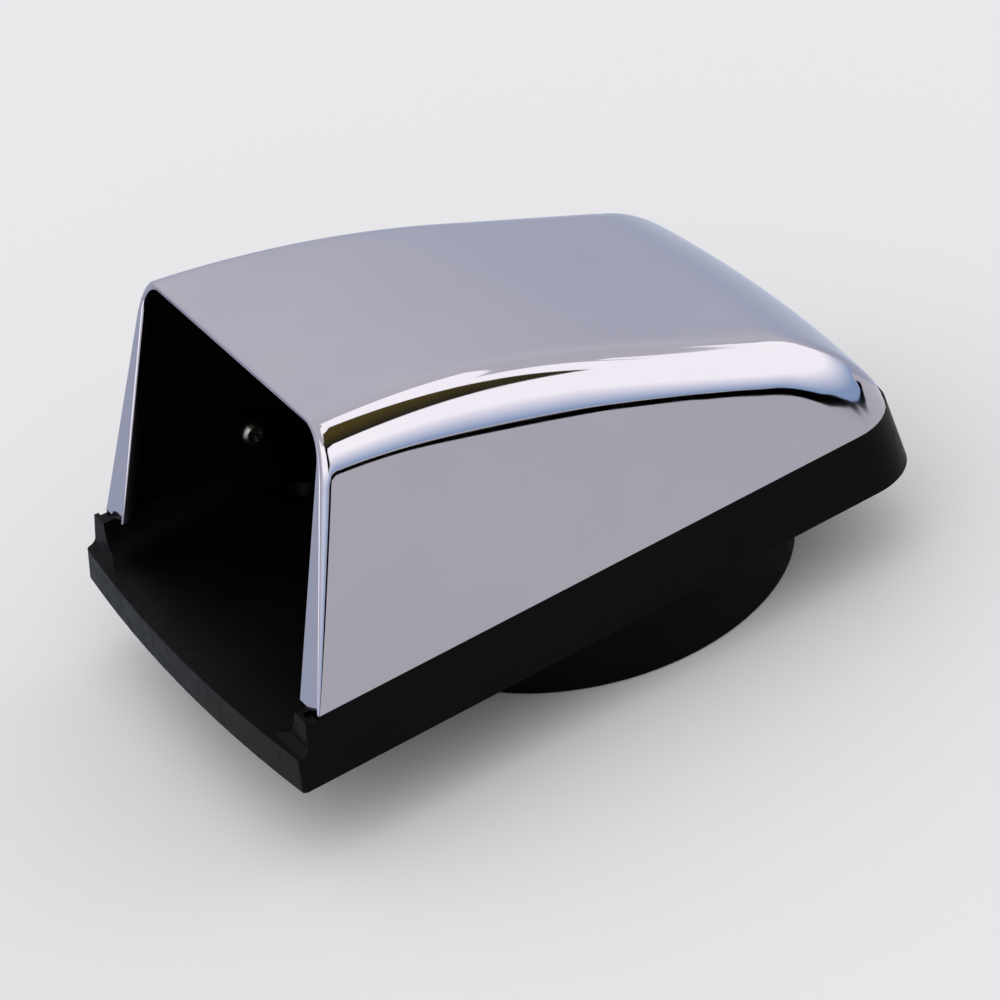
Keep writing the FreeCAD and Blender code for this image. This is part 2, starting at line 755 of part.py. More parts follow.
def hood_lugs():
    """Bosses inside the side walls that the tab screws bite into, and their pilot holes."""
    lugs = []
    pilots = []
    height = "Dims.tab_screw_height - Dims.skirt_height"
    for side, turn, face_x in (("Right", 90, "Dims.tab_outer_x"), ("Left", -90, "-Dims.tab_outer_x")):
        centre = (face_x, "Dims.tab_y", height)
        lugs.append(cylinder("Lug" + side, centre, "Dims.lug_depth", "Dims.boss_radius", turn))
        pilots.append(cylinder("LugPilot" + side, centre, "Dims.lug_pilot_depth",
                               "Dims.pilot_radius", turn))
    return lugs, pilots


def hood_tongues():
    """Two plates that hang from the tail and drop behind the keepers on the floor."""
    solids = []
    for side, sign in (("Right", 1), ("Left", -1)):
        corner = (tongue_corner_x(sign), "Dims.tongue_rear_y - Dims.tongue_thick",
                  "Dims.tongue_foot_height - Dims.skirt_height")
        size = ("Dims.tongue_width", "Dims.tongue_thick",
                "Dims.tongue_top_height - Dims.tongue_foot_height")
        solids.append(box("Tongue" + side, corner, size))
    return solids


def make_hood():
    outside = hood_block("HoodOutside", "0", "0", "0")
    inside = hood_block("HoodInside", "Dims.wall_foot", "Dims.wall_crest", "Dims.roof_wall")
    rounded = round_mouth_edge(outside)
    shell = cut("HoodShell", rounded, [inside])
    lugs, pilots = hood_lugs()
    casting = fuse("HoodCasting", [shell, mouth_rim(rounded)] + lugs + hood_tongues())
    hood = cut("Hood", casting, pilots)
    hood.setExpression("Placement.Base.z", "Dims.skirt_height")
    hood.Label = "hood"
    return hood


# ---------------------------------------------------------------- collar and screws

def make_hose_collar():
    """A flanged spigot with four ears; its own zero height is its seat under the floor."""
    body = new_body("HoseCollar")
    section = new_sketch(body, "CollarSection", "XZ_Plane")
    bore = "Dims.collar_radius - Dims.collar_wall"
    low = "-(Dims.collar_drop + %s)" % floor_underside()
    points = (
        (bore, "0"),
        (bore, low),
        ("Dims.collar_radius - Dims.collar_bevel", low),
        ("Dims.collar_radius", low + " + Dims.collar_bevel"),
        ("Dims.collar_radius", "-Dims.flange_thick"),
        ("Dims.flange_radius", "-Dims.flange_thick"),
        ("Dims.flange_radius", "0"),
    )
    draw_outline(section, points)
    turned = body.newObject("PartDesign::Revolution", "CollarTurned")
    turned.Profile = section
    turned.ReferenceAxis = (section, ["V_Axis"])
    turned.Angle = 360
    DOC.recompute()
    diagonal = "Dims.ear_circle * sin(45)"
    ear_sketch = new_sketch(body, "EarSketch")
    draw_circle(ear_sketch, (diagonal, diagonal), "Dims.ear_radius")
    ear = pad(body, ear_sketch, "Dims.flange_thick", downwards=True)
    hole_sketch = new_sketch(body, "EarHoleSketch")
    draw_circle(hole_sketch, (diagonal, diagonal), "Dims.ear_hole_radius")
    hole = body.newObject("PartDesign::Pocket", "EarHole")
    hole.Profile = hole_sketch
    hole.setExpression("Length", "Dims.flange_thick")
    DOC.recompute()
    ears = body.newObject("PartDesign::PolarPattern", "Ears")
    ears.Originals = [ear, hole]
    ears.Axis = (hole_sketch, ["N_Axis"])
    ears.Angle = 360
    ears.Occurrences = 4
    body.Tip = ears
    body.setExpression("Placement.Base.z", floor_underside())
    body.Label = "hose_collar"
    DOC.recompute()
    return body


def make_screw(name, length):
    """A pan head screw on the Z axis: its seat is at height 0 and its head hangs below."""
    body = new_body(name)
    section = new_sketch(body, name + "Section", "XZ_Plane")
    points = (
        ("0", length),
        ("0", "-Dims.head_height"),
        ("Dims.head_radius - Dims.head_dome", "-Dims.head_height"),
        ("Dims.head_radius", "-Dims.head_rim"),
        ("Dims.head_radius", "0"),
        ("Dims.shank_radius", "0"),
        ("Dims.shank_radius", length + " - Dims.shank_radius"),
    )
    draw_outline(section, points, {2: "Dims.head_edge_radius"})
    turned = body.newObject("PartDesign::Revolution", name + "Turned")
    turned.Profile = section
    turned.ReferenceAxis = (section, ["V_Axis"])
    turned.Angle = 360
    DOC.recompute()
    for word, half_x, half_y in (
        ("Across", "Dims.recess_length / 2", "Dims.recess_width / 2"),
        ("Along", "Dims.recess_width / 2", "Dims.recess_length / 2"),
    ):
        slot = new_sketch(body, name + word, "XY_Plane", "-Dims.head_height")
        draw_outline(slot, (
            ("-" + half_x, "-" + half_y),
            (half_x, "-" + half_y),
            (half_x, half_y),
            ("-" + half_x, half_y),
        ))
        before = body.Shape.Volume
        recess = body.newObject("PartDesign::Pocket", name + word + "Recess")
        recess.Profile = slot
        recess.Reversed = True
        recess.setExpression("Length", "Dims.recess_depth")
        DOC.recompute()
        if body.Shape.Volume >= before:
            raise RuntimeError(name + ": the recess cuts nothing")
    return body


def group_of_screws(name, label, screw, places):
    """Copies of one screw as separate solids; places are ((x, y, z) expressions, rotation)."""
    copies = []
    for number, (centre, rotation) in enumerate(places):
        copy = DOC.addObject("App::Link", "%s%d" % (name, number))
        copy.LinkedObject = screw
        copy.Placement.Rotation = rotation
        for axis, expression in zip("xyz", centre):
            copy.setExpression("Placement.Base." + axis, expression)
        copies.append(copy)
    group = DOC.addObject("Part::Compound", name)
    group.Links = copies
    group.Label = label
    DOC.recompute()
    return group


def make_collar_screws():
    """Four screws that run up through the collar's ears into the floor's bosses."""
    screw = make_screw("EarScrew", "Dims.collar_screw_length")
    upright = FreeCAD.Rotation()
    seat = floor_underside() + " - Dims.flange_thick"
    places = [((x, y, seat), upright) for x, y in ear_places()]
    return group_of_screws("CollarScrews", "collar_screws", screw, places)


def make_hood_screws():
    """Two screws that run outwards through the base's tabs into the hood's lugs."""
    screw = make_screw("TabScrew", "Dims.hood_screw_length")
    inner_x = "(Dims.tab_outer_x - Dims.tab_thick)"
    up = FreeCAD.Vector(0, 1, 0)
    places = [
        ((inner_x, "Dims.tab_y", "Dims.tab_screw_height"), FreeCAD.Rotation(up, 90)),
        (("-" + inner_x, "Dims.tab_y", "Dims.tab_screw_height"), FreeCAD.Rotation(up, -90)),
    ]
    return group_of_screws("HoodScrews", "hood_screws", screw, places)


# ---------------------------------------------------------------- checks and export

def check_document():
    for item in DOC.Objects:
        if "Invalid" in item.State or "Error" in item.State:
            raise RuntimeError("%s failed: %s" % (item.Name, item.State))


def export(parts):
    for part in parts:
        if part.Shape.isNull() or not part.Shape.isValid():
            raise RuntimeError("%s has no valid shape" % part.Label)
    os.makedirs("parts", exist_ok=True)
    for part in parts:
        part.Shape.exportStep("parts/%s.step" % part.Label)
        bounds = part.Shape.optimalBoundingBox(False)
        print("%-14s %d solid(s)  %9.1f mm3  x %.1f..%.1f  y %.1f..%.1f  z %.1f..%.1f" % (
            part.Label, len(part.Shape.Solids), part.Shape.Volume, bounds.XMin, bounds.XMax,
            bounds.YMin, bounds.YMax, bounds.ZMin, bounds.ZMax))


fill_sheet()
PARTS = [make_base(), make_hood(), make_hose_collar(), make_collar_screws(), make_hood_screws()]
DOC.recompute()
check_document()
export(PARTS)
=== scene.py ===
import math
import bmesh
import bpy
import numpy as np
from mathutils import Matrix, Vector


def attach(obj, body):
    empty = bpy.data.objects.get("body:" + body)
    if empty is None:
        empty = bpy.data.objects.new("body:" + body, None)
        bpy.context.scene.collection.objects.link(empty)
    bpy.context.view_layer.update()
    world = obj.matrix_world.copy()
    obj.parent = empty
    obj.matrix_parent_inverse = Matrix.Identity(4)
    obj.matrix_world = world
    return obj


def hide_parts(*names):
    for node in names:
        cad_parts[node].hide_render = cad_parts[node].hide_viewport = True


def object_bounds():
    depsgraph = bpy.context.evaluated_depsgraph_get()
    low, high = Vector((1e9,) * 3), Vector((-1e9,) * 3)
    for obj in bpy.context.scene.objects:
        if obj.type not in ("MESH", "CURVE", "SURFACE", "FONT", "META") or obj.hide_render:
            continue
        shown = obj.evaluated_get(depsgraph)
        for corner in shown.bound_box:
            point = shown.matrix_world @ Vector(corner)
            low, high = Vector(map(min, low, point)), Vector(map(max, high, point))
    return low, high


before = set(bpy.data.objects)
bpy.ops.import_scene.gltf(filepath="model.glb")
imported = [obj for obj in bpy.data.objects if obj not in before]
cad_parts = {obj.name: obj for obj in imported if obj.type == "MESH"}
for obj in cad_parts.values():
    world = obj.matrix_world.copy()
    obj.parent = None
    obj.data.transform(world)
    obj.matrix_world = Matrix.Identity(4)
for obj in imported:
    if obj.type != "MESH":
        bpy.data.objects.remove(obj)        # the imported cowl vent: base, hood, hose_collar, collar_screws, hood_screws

# Looks of a chromed cowl vent on a black moulded base. Metres, in the frame of the packed
# model: origin on the hose collar's axis in the deck plane, +Z up, mouth towards -Y.

MM = 0.001
CAD_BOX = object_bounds()

# Hood: plan at its foot and at the height where its walls would end without a roof.
FOOT_Z = 16.1 * MM
CREST_RISE = 64.0 * MM
FRONT_Y = -110.0 * MM
FOOT_FRONT_HALF = 58.8 * MM
FOOT_REAR_HALF = 52.3 * MM
FOOT_REAR_Y = 64.8 * MM
FOOT_CORNER = 14.5 * MM
CREST_FRONT_HALF = 51.6 * MM
CREST_REAR_HALF = 37.4 * MM
CREST_REAR_Y = 55.6 * MM
CREST_CORNER = 34.0 * MM
REAR_BOW = 3.2 * MM

# Hood: roof line seen from the side, and the shoulders' rounding along it.
APEX_Y = -85.0 * MM
APEX_Z = 77.2 * MM
CROWN_RADIUS = 236.0 * MM
BACK_SLOPE = math.radians(22.0)
TAIL_Y = 40.5 * MM
TAIL_RADIUS = 50.0 * MM
SHOULDER_IN_FRONT = 8.0 * MM     # how far the shoulder reaches in over the roof
SHOULDER_IN_REAR = 13.0 * MM
SHOULDER_DOWN = 13.2 * MM        # how far it reaches down the wall at the tail
SHOULDER_SWELL = 4.4 * MM        # how much further it reaches where it is fullest
FULLEST_Y = -28.0 * MM
SWELL_LENGTH = 34.0 * MM

# Hood: raked mouth, the rim round it and the walls behind the rim.
MOUTH_Y = -92.9 * MM
MOUTH_RAKE = math.radians(20.1)
EDGE_FOOT = 0.5 * MM             # rounding of the mouth's outer edge: at the foot,
EDGE_SHOULDER = 2.5 * MM         # under the shoulders
EDGE_ROOF = 1.2 * MM             # and across the roof, out to this far from the middle
EDGE_ROOF_HALF = 43.0 * MM
EDGE_GROWTH = 0.7                # power of the height by which the rounding grows up the walls
FACE_MARGIN = 0.15 * MM          # thin strips that keep the mouth's flat face flat
RIM_DEPTH = 3.0 * MM
RIM_FOOT_HALF = 48.7 * MM
RIM_TOP_HALF = 46.3 * MM
RIM_RISE = 59.3 * MM
RIM_CORNER = 7.5 * MM
RIM_EDGE = 0.5 * MM              # rounding of the rim's inner edge,
RIM_EDGE_MIDDLE = 0.3            # and how far in its middle lies, as a share of it
WALL_FOOT = 3.0 * MM
WALL_CREST = 2.6 * MM
ROOF_WALL = 1.5 * MM

# Hood: the screw bosses inside its walls and the tongues that hang from its tail.
LUG_X = 49.6 * MM
LUG_Y = -55.8 * MM
LUG_Z = 24.6 * MM
LUG_LENGTH = 4.2 * MM
LUG_RADIUS = 3.6 * MM
LUG_SEGMENTS = 40
TONGUE_X = 20.0 * MM
TONGUE_WIDTH = 12.0 * MM
TONGUE_Y = (62.2 * MM, 64.2 * MM)
TONGUE_Z = (9.5 * MM, 21.5 * MM)
TONGUE_BEVEL = 0.4 * MM
TONGUE_BEVEL_STEPS = 3

# Hood mesh: how finely its girth and its length are divided.
WALL_STEPS = 12
CORNER_STEPS = 22
ROOF_STEPS = 36
LENGTH_STEPS = 60
TAIL_STEPS = 44
EDGE_STEPS = 8
PIVOT_Y = 5.0 * MM       # the tail's sections fan out about a line at the foot here
BEHIND_RIM = 0.4 * MM    # from the rim's depth to the first section

# Hood mesh: how its points are found on the skin. In each section, rays run sideways from the
# middle to the wall, upwards from the hub's height to the roof and outwards from the hub round
# the shoulder. The hub lies this far in from the skin.
HUB_FRONT = 16.0 * MM
HUB_REAR_EXTRA = 10.0 * MM       # how much further in it lies where the fan is flat
HUB_SHARE = 0.45                 # the most that it takes of the section's height
HUB_GAP = 1.0 * MM               # how much lower it lies still
TRACE_STEPS = 26                 # steps that a ray takes towards the skin
EDGE_PASSES = 3                  # rounds of fitting the mouth edge's rounding to the skin
SLANT_LIMIT = 0.98               # normals closer to parallel than this count as this
NORMAL_STEP = 0.01 * MM

# Hood mesh: how it is cleaned up.
MERGE_DISTANCE = 0.001 * MM
SLIVER_LENGTH = 0.0005 * MM
SHARP_ANGLE = math.radians(32)

# Studio: how far off the panels and cards stand, in metres, and how high the sheets lie.
FLOOR_HALF = 3.0
FLOOR_DROP = 0.2 * MM    # the floor lies this far under the collar
SOFTBOX_RADIUS = 2.4
WALL_RADIUS = 2.3
CARD_RADIUS = 2.2
FAR_FLOOR_RADII = (0.1, 2.4)
CARD_LIFT = 0.6 * MM
GLOW_LIFT = 0.4 * MM
FAR_FLOOR_LIFT = 0.3 * MM
PANEL_STEPS = 24

# Studio colours. A pair runs from the panel's lower end to its upper end.
PAPER = (0.93, 0.925, 0.93)
ROOM = (0.88, 0.88, 0.90)
BLACK = (0.0, 0.0, 0.0)
LOW_GLOW = (0.46, 0.65, 0.95)
SOFTBOX_GLOW = (LOW_GLOW, (1.95, 1.90, 1.86))
GAP_GLOW = ((0.025, 0.025, 0.016), (0.12, 0.09, 0.02))
WALL_GLOW = ((0.60, 0.65, 0.78), (0.92, 0.90, 0.95))
MOUTH_GLOW = (1.9, 1.85, 1.9)
FAR_FLOOR_SHADE = (0.58, 0.63, 0.76)

# Studio: heights over which those pairs run, in metres.
SOFTBOX_RISE = (0.0, 0.72)
GAP_RISE = (1.2, 1.7)
WALL_RISE = (0.1, 1.1)

# Studio: corners of the panels and cards as (azimuth, elevation) in degrees.
SOFTBOXES = {
    "softbox_side": ((18, -1), (80, -1), (80, 39.5), (18, 39.5)),
    "softbox_slope": ((18, 39.5), (78, 39.5), (77, 50), (18, 50)),
    "softbox_top": ((18, 50), (110, 50), (110, 68), (18, 68)),
    "softbox_end": ((80, -1), (107, -1), (110, 33), (80, 33)),
    "softbox_end_top": ((80, 33), (110, 33), (107, 36.5), (80, 41)),
    "softbox_front": ((-80, -1), (18, -1), (18, 9), (-80, 9)),
    "softbox_front_top": ((-80, 9), (-12, 9), (-12, 45), (-80, 45)),
}
GAP_CARD = ((10, 29.5), (59, 36), (63, 61), (12, 52))
ROOM_WALL = ((113, -1), (262, -1), (262, 58), (113, 58))
DARK_CORNER = ((-12, 12), (11, 12), (11, 50), (-12, 50))

# Studio: the near and far sides of the sheets that lie on the floor, as (x, y) in metres.
TABLE_NEAR = ((0.05, 0.95), (0.02, 0.50), (0.12, 0.38), (0.30, 0.45), (0.37, 0.35), (0.35, 0.20),
              (0.57, 0.22), (1.25, 0.40))
TABLE_FAR = ((0.08, 0.95), (0.12, 0.57), (0.20, 0.51), (0.32, 0.51), (0.42, 0.52), (0.55, 0.57),
             (0.95, 0.73), (1.40, 0.80))
DARK_MOUTH_NEAR = ((0.27, -0.30), (0.30, -0.06), (0.50, 0.07), (0.66, 0.25))
DARK_MOUTH_FAR = ((1.1, -0.40), (1.1, -0.20), (1.1, 0.10), (1.25, 0.42))
BRIGHT_MOUTH_NEAR = ((-0.30, -0.42), (-0.04, -0.40))
BRIGHT_MOUTH_FAR = ((-1.6, -1.7), (-0.5, -2.2))
FAR_FLOOR_START = 97     # azimuth in degrees
FAR_FLOOR_TURN = 8
FAR_FLOOR_STEPS = 20


# ---------------------------------------------------------------- hood surface


def rounded_join(a, b, slant, reach_a, reach_b):
    """Distance to two faces joined by a round.

    a and b are the distances to the faces and slant is the dot product of their normals. The
    round starts reach_a inside face a and reach_b inside face b, so equal reaches make an arc.
    """
    inner_a = a / reach_a + 1
    inner_b = b / reach_b + 1
    square = (inner_a ** 2 + inner_b ** 2 - 2 * slant * inner_a * inner_b) / (1 - slant ** 2)
    on_round = (inner_a > slant * inner_b) & (inner_b > slant * inner_a)
    arc = (np.sqrt(np.maximum(square, 0)) - 1) * np.minimum(reach_a, reach_b)
    return np.where(on_round, arc, np.maximum(a, b))


def wall_distance(x, y, z, inside):
    """Distance outside the ruled side and rear walls, with their rounded plan corners."""
    rise = (z - FOOT_Z) / CREST_RISE
    wall = inside * (WALL_FOOT + (WALL_CREST - WALL_FOOT) * rise)
    front_half = FOOT_FRONT_HALF + (CREST_FRONT_HALF - FOOT_FRONT_HALF) * rise
    rear_half = FOOT_REAR_HALF + (CREST_REAR_HALF - FOOT_REAR_HALF) * rise
    rear_y = FOOT_REAR_Y + (CREST_REAR_Y - FOOT_REAR_Y) * rise
    corner = FOOT_CORNER + (CREST_CORNER - FOOT_CORNER) * rise - wall
    along = (y - FRONT_Y) / (rear_y - FRONT_Y)
    taper = (front_half - rear_half) / (rear_y - FRONT_Y)
    lean = ((FOOT_FRONT_HALF - CREST_FRONT_HALF) * (1 - along)
            + (FOOT_REAR_HALF - CREST_REAR_HALF) * along) / CREST_RISE
    half = front_half + (rear_half - front_half) * along
    side = (np.abs(x) - half) / np.sqrt(1 + taper ** 2 + lean ** 2) + wall
    rear_lean = (FOOT_REAR_Y - CREST_REAR_Y) / CREST_RISE
    bow_slope = 2 * REAR_BOW * x / rear_half ** 2
    bowed_y = rear_y + REAR_BOW * (1 - (x / rear_half) ** 2)
    rear = (y - bowed_y) / np.sqrt(1 + rear_lean ** 2 + bow_slope ** 2) + wall
    slant = (taper + lean * rear_lean + np.abs(bow_slope)) / np.sqrt(
        (1 + taper ** 2 + lean ** 2) * (1 + rear_lean ** 2 + bow_slope ** 2))
    return rounded_join(side, rear, slant, corner, corner)


def roof_distance(x, y, z, inside):
    """Distance above the roof, whose line is turned about a far upright axis."""
    turn_radius = (FOOT_REAR_HALF ** 2 + REAR_BOW ** 2) / (2 * REAR_BOW)
    axis_y = FOOT_REAR_Y + REAR_BOW - turn_radius
    reach = np.hypot(x, y - axis_y) + axis_y
    crown_z = APEX_Z - CROWN_RADIUS
    back_y = APEX_Y + CROWN_RADIUS * math.sin(BACK_SLOPE)
    back_z = crown_z + CROWN_RADIUS * math.cos(BACK_SLOPE)
    tail_z = back_z - (TAIL_Y - back_y) * math.tan(BACK_SLOPE)
    hub_y = TAIL_Y - TAIL_RADIUS * math.sin(BACK_SLOPE)
    hub_z = tail_z - TAIL_RADIUS * math.cos(BACK_SLOPE)
    crown = np.hypot(reach - APEX_Y, z - crown_z) - CROWN_RADIUS
    back = (reach - back_y) * math.sin(BACK_SLOPE) + (z - back_z) * math.cos(BACK_SLOPE)
    tail = np.hypot(reach - hub_y, z - hub_z) - TAIL_RADIUS
    run = (reach - back_y) * math.cos(BACK_SLOPE) - (z - back_z) * math.sin(BACK_SLOPE)
    length = (TAIL_Y - back_y) / math.cos(BACK_SLOPE)
    distance = np.where(run < 0, crown, np.where(run < length, back, tail))
    return distance + inside * ROOF_WALL


def gradient(field, x, y, z, inside):
    """The direction in which a distance field grows, as unit vectors."""
    step = NORMAL_STEP
    parts = (
        field(x + step, y, z, inside) - field(x - step, y, z, inside),
        field(x, y + step, z, inside) - field(x, y - step, z, inside),
        field(x, y, z + step, inside) - field(x, y, z - step, inside),
    )
    normal = np.stack(parts, axis=-1)
    never_zero = 1e-12
    return normal / np.maximum(np.linalg.norm(normal, axis=-1, keepdims=True), never_zero)


def hood_distance(x, y, z, inside):
    """Distance outside the hood's outer skin, or its inner skin where inside is 1."""
    walls = wall_distance(x, y, z, inside)
    roof = roof_distance(x, y, z, inside)
    wall_normal = gradient(wall_distance, x, y, z, inside)
    roof_normal = gradient(roof_distance, x, y, z, inside)
    slant = np.sum(wall_normal * roof_normal, axis=-1)
    slant = np.clip(slant, -SLANT_LIMIT, SLANT_LIMIT)
    along = np.clip((y - MOUTH_Y) / (TAIL_Y - MOUTH_Y), 0, 1)
    reach_in = SHOULDER_IN_FRONT + (SHOULDER_IN_REAR - SHOULDER_IN_FRONT) * along
    swell = SHOULDER_SWELL * np.exp(-((y - FULLEST_Y) / SWELL_LENGTH) ** 2)
    return rounded_join(walls, roof, slant, reach_in - inside * ROOF_WALL,
                        SHOULDER_DOWN + swell - inside * ROOF_WALL)


def in_plane(x, rise, foot_y, tilt):
    """A point of a section plane: rise is measured up the plane from its line at the foot."""
    return x, foot_y + rise * np.sin(tilt), FOOT_Z + rise * np.cos(tilt)


def reach_out(x, rise, step_x, step_rise, foot_y, tilt, inside):
    """How far each ray in its section plane runs before it meets the skin."""
    length = np.zeros_like(x)
    for _ in range(TRACE_STEPS):
        point = in_plane(x + step_x * length, rise + step_rise * length, foot_y, tilt)
        length = length - hood_distance(*point, inside)
    return length


def girth():
    """Where each column of the mesh runs, from the left foot over the roof to the right foot.

    A column is (side, part, fraction). Part 0 is the wall, 1 the shoulder and 2 the roof.
    """
    wall = [(0, step / WALL_STEPS) for step in range(WALL_STEPS)]
    corner = [(1, step / CORNER_STEPS) for step in range(CORNER_STEPS)]
    roof = [(2, 1 - 2 * step / ROOF_STEPS) for step in range(ROOF_STEPS // 2)]
    half = wall + corner + roof
    sides = [(-1, part, fraction) for part, fraction in half]
    sides.append((0, 2, 0.0))
    sides += [(1, part, fraction) for part, fraction in reversed(half)]
    return np.array(sides)


GIRTH = girth()
SIDE = GIRTH[:, 0]
PART = GIRTH[:, 1]
FRACTION = GIRTH[:, 2]


def section(foot_y, tilt, inside):
    """The skin's points where section planes cut it, one for each column of the mesh."""
    foot_y = np.broadcast_to(np.asarray(foot_y, float), SIDE.shape)
    tilt = np.broadcast_to(np.asarray(tilt, float), SIDE.shape)
    zero = np.zeros_like(SIDE)
    one = np.ones_like(SIDE)
    top = reach_out(zero, zero, zero, one, foot_y, tilt, inside)
    fanned = (tilt - MOUTH_RAKE) / (math.pi / 2 - MOUTH_RAKE)
    corner = np.minimum(HUB_FRONT + HUB_REAR_EXTRA * fanned, HUB_SHARE * top)
    hub_rise = top - corner - HUB_GAP
    hub_x = reach_out(zero, hub_rise, one, zero, foot_y, tilt, inside) - corner
    angle = FRACTION * math.pi / 2
    start_x = np.where(PART == 0, 0, np.where(PART == 1, hub_x, FRACTION * hub_x))
    start_rise = np.where(PART == 0, FRACTION * hub_rise, hub_rise)
    step_x = np.where(PART == 0, 1, np.where(PART == 1, np.cos(angle), 0))
    step_rise = np.where(PART == 0, 0, np.where(PART == 1, np.sin(angle), 1))
    length = reach_out(start_x, start_rise, step_x, step_rise, foot_y, tilt, inside)
    side = np.where(SIDE == 0, 1, SIDE)
    x = side * (start_x + step_x * length)
    return np.stack(in_plane(x, start_rise + step_rise * length, foot_y, tilt), axis=-1)


def stations():
    """Section planes from just behind the mouth's rim to the rear foot: (foot_y, tilt)."""
    first = MOUTH_Y + RIM_DEPTH + BEHIND_RIM
    planes = [(first + (PIVOT_Y - first) * step / LENGTH_STEPS, MOUTH_RAKE)
              for step in range(LENGTH_STEPS)]
    sweep = math.pi / 2 - MOUTH_RAKE
    planes += [(PIVOT_Y, MOUTH_RAKE + sweep * step / TAIL_STEPS) for step in range(TAIL_STEPS + 1)]
    return planes


def mouth_edge():
    """Rows of the rounding between the outer skin and the mouth's flat face."""
    face_normal = np.array((0, -math.cos(MOUTH_RAKE), math.sin(MOUTH_RAKE)))
    foot_y = np.full_like(SIDE, MOUTH_Y)
    for _ in range(EDGE_PASSES):
        start = section(foot_y, MOUTH_RAKE, 0)
        normal = gradient(hood_distance, *start.T, 0)
        rise = np.clip((start[:, 2] - FOOT_Z) / (APEX_Z - FOOT_Z), 0, 1)
        radius = EDGE_FOOT + (EDGE_SHOULDER - EDGE_FOOT) * rise ** EDGE_GROWTH
        aside = np.clip((np.abs(start[:, 0]) - EDGE_ROOF_HALF) / SHOULDER_IN_FRONT, 0, 1)
        radius = EDGE_ROOF + (radius - EDGE_ROOF) * aside
        slant = normal @ face_normal
        foot_y = MOUTH_Y + radius * (1 - slant) / math.cos(MOUTH_RAKE)
    centre = start - radius[:, None] * normal
    turn = np.arccos(slant)[:, None]
    rows = []
    for step in range(EDGE_STEPS + 1):
        part = step / EDGE_STEPS
        direction = (np.sin((1 - part) * turn) * normal + np.sin(part * turn) * face_normal)
        direction = direction / np.sin(turn)
        rows.append(centre + radius[:, None] * direction)
    inwards = rim_outline(RIM_EDGE + FACE_MARGIN, 0) - rows[-1]
    inwards = inwards / np.linalg.norm(inwards, axis=1, keepdims=True)
    rows.append(rows[-1] + FACE_MARGIN * inwards)
    return rows


def rim_outline(grow, depth):
    """The mouth opening's outline, grown outwards and set a depth back along Y."""
    taper = (RIM_FOOT_HALF - RIM_TOP_HALF) / RIM_RISE
    corner = RIM_CORNER + grow
    hub_rise = RIM_RISE - RIM_CORNER
    hub_x = RIM_TOP_HALF - RIM_CORNER
    angle = FRACTION * math.pi / 2
    wall_rise = FRACTION * hub_rise
    wall_x = RIM_TOP_HALF + taper * (hub_rise - wall_rise) + grow
    x = np.where(PART == 0, wall_x, np.where(PART == 1, hub_x + corner * np.cos(angle),
                                             FRACTION * hub_x))
    rise = np.where(PART == 0, wall_rise, hub_rise + corner * np.where(PART == 1, np.sin(angle), 1))
    y = MOUTH_Y + rise * math.tan(MOUTH_RAKE) + depth
    return np.stack((np.where(SIDE == 0, 1, SIDE) * x, y, FOOT_Z + rise), axis=-1)


def hood_rows():
    """All rows of the hood's closed skin, and how many are chromed and how many are outer skin."""
    planes = stations()
    outer = [section(foot_y, tilt, 0) for foot_y, tilt in reversed(planes)]
    inner = [section(foot_y, tilt, 1) for foot_y, tilt in planes]
    middle = RIM_EDGE_MIDDLE * RIM_EDGE
    rim = [rim_outline(RIM_EDGE + FACE_MARGIN, 0), rim_outline(RIM_EDGE, 0),
           rim_outline(middle, middle), rim_outline(0, RIM_EDGE), rim_outline(0, RIM_DEPTH)]
    edge = mouth_edge()
    chromed = len(outer) + len(edge) + len(rim)
    return outer + edge + rim + inner, chromed, len(outer)


def add_lug(shape, side):
    """A round boss inside a side wall."""
    turn = Matrix.Rotation(math.pi / 2, 4, "Y")
    place = Matrix.Translation((side * (LUG_X + LUG_LENGTH / 2), LUG_Y, LUG_Z)) @ turn
    made = bmesh.ops.create_cone(shape, cap_ends=True, segments=LUG_SEGMENTS,
                                 radius1=LUG_RADIUS, radius2=LUG_RADIUS,
                                 depth=LUG_LENGTH, matrix=place)
    return made["verts"]


def add_tongue(shape, side):
    """A plate that hangs from the tail and drops behind a keeper on the base."""
    size = Vector((TONGUE_WIDTH, TONGUE_Y[1] - TONGUE_Y[0], TONGUE_Z[1] - TONGUE_Z[0]))
    centre = Vector((side * TONGUE_X, sum(TONGUE_Y) / 2, sum(TONGUE_Z) / 2))
    place = Matrix.Translation(centre) @ Matrix.Diagonal((*size, 1))
    made = bmesh.ops.create_cube(shape, size=1, matrix=place)
    edges = list({edge for vertex in made["verts"] for edge in vertex.link_edges})
    bevelled = bmesh.ops.bevel(shape, geom=edges, offset=TONGUE_BEVEL,
                               segments=TONGUE_BEVEL_STEPS, affect="EDGES", profile=0.5)
    return bevelled["verts"]


def add_skin(shape, grid, chromed):
    """The faces between neighbouring rows. The last row joins the first along the rear foot."""
    for index, here in enumerate(grid):
        after = grid[(index + 1) % len(grid)]
        for column in range(len(here) - 1):
            face = shape.faces.new((here[column], here[column + 1],
                                    after[column + 1], after[column]))
            face.material_index = 0 if index < chromed - 1 else 1
            face.smooth = True


def close_foot(shape, grid, outer_count):
    """The flat faces under the side walls, from the outer skin across to the inner one."""
    last = len(grid) - 1
    for column, turn in ((0, 1), (len(grid[0]) - 1, -1)):
        for index in range(outer_count - 1):
            corners = (grid[index][column], grid[index + 1][column],
                       grid[last - index - 1][column], grid[last - index][column])
            shape.faces.new(corners[::turn]).material_index = 1
        rim = [grid[index][column] for index in range(outer_count - 1, last - outer_count + 2)]
        shape.faces.new(rim[::turn]).material_index = 0


